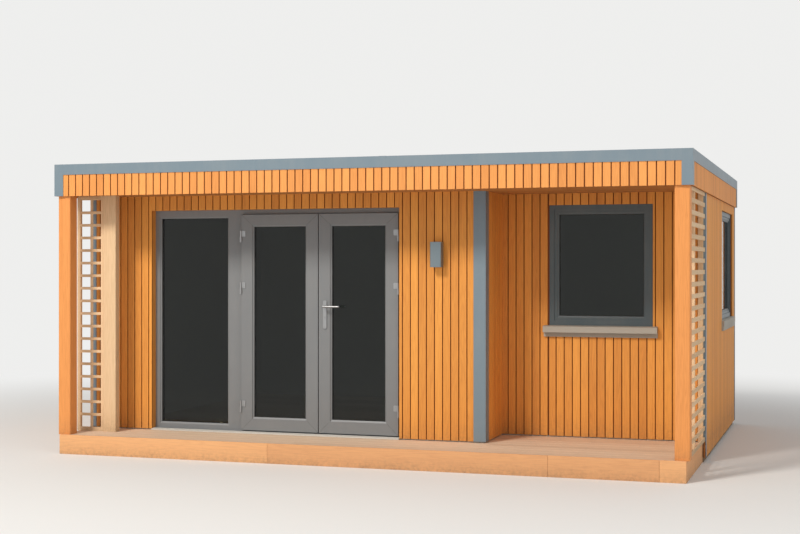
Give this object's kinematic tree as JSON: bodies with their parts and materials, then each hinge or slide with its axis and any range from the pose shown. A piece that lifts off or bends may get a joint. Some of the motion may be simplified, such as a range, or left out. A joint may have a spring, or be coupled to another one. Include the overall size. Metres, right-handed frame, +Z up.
{
  "type": "garden office pod",
  "caption": "Flat-roofed timber garden room with glazed French doors and side glass under a covered porch, a deeper covered bay with a window, a deck, corner posts and trellis.",
  "frame": {"origin": "ground level, under the middle of the roof", "axes": "+X to the right along the front, +Y from the front to the back, +Z up"},
  "size_m": [5.44, 4.2, 2.5],
  "materials": {
    "cedar": "oiled narrow boards, darker in places",
    "pale_timber": "sawn and planed softwood, bare",
    "deck_timber": "planed boards, weathered pale",
    "framing_timber": "sawn and treated",
    "lining": "matt white wall lining",
    "frame_paint": "satin anthracite",
    "trim_metal": "satin blue-grey",
    "light_metal": "brushed",
    "sill_paint": "matt stone grey",
    "glazing": "clear double glazing",
    "fitting_steel": "satin",
    "covering": "matt sheet"
  },
  "bodies": {
    "building": {"floor_cassette": "framing_timber", "floor": "deck_timber", "deck_frame": "framing_timber", "deck_boards": "deck_timber", "deck_edge": "cedar", "left_wall": "lining", "right_wall": "lining", "back_wall": "lining", "front_wall_left": "lining", "front_wall_right": "lining", "front_wall_head": "lining", "return_wall": "lining", "bay_wall": "lining", "front_cladding": "cedar", "return_cladding": "cedar", "bay_cladding": "cedar", "left_cladding": "cedar", "right_cladding": "cedar", "back_cladding": "cedar", "bay_corner_trim": "trim_metal", "outer_corner_trims": "trim_metal", "door_frame": "frame_paint", "side_glass": "glazing", "frame_hinges": "fitting_steel", "bay_window_frame": "frame_paint", "bay_window_glass": "glazing", "bay_window_sill": "sill_paint", "end_window_frame": "frame_paint", "end_window_glass": "glazing", "end_window_sill": "sill_paint", "wall_light": "light_metal", "left_post": "cedar", "right_post": "cedar", "right_trellis": "pale_timber", "climber_trellis": "pale_timber", "trellis_post": "pale_timber", "soffit": "cedar", "ceiling": "lining", "roof_panel": "framing_timber", "roof_membrane": "covering", "fascia": "cedar", "fascia_corner_trims": "trim_metal", "roof_edge": "trim_metal"},
    "left_door": {"left_door": "frame_paint", "left_door_glass": "glazing", "left_door_hinges": "fitting_steel"},
    "right_door": {"right_door": "frame_paint", "right_door_glass": "glazing", "right_door_hinges": "fitting_steel", "door_handle": "fitting_steel"}
  },
  "joints": [
    {"name": "left_door_hinge", "type": "hinge", "parent": "building", "child": "left_door", "pos_m": [-1.2345, -1.494, 1.13], "axis": [0, 0, -1], "range_deg": [0, 90]},
    {"name": "right_door_hinge", "type": "hinge", "parent": "building", "child": "right_door", "pos_m": [0.2125, -1.494, 1.13], "axis": [0, 0, 1], "range_deg": [0, 90]}
  ]
}
